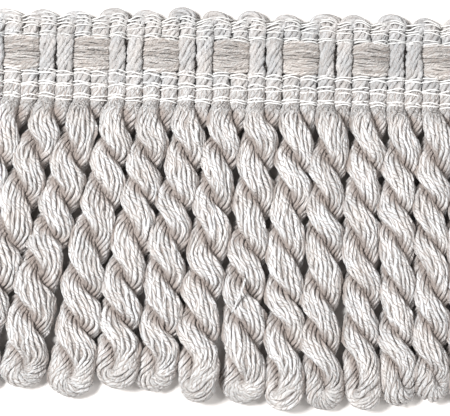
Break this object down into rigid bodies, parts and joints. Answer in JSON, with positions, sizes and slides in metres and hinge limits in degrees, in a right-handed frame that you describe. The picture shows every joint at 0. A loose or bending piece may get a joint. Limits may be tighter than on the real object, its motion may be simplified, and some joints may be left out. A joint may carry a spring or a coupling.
{
  "type": "bullion fringe",
  "caption": "Length of off-white cotton bullion fringe: woven heading with a flat filler band, and a skirt of thick twisted ropes that end in closed loops.",
  "frame": {"origin": "Centre of the whole footprint, on the surface that the fringe lies on.", "axes": "+X along the heading to the right as seen from the face, +Y from the skirt towards the heading's top edge, +Z out of the face."},
  "size_m": [0.1186, 0.0758, 0.0061],
  "materials": {
    "heading_cotton": "matt woven cotton",
    "filler_yarn": "matt soft yarn",
    "skirt_cotton": "matt twisted cotton"
  },
  "bodies": {
    "root": {"heading": "heading_cotton", "filler_band": "filler_yarn", "skirt": "skirt_cotton"}
  },
  "joints": []
}
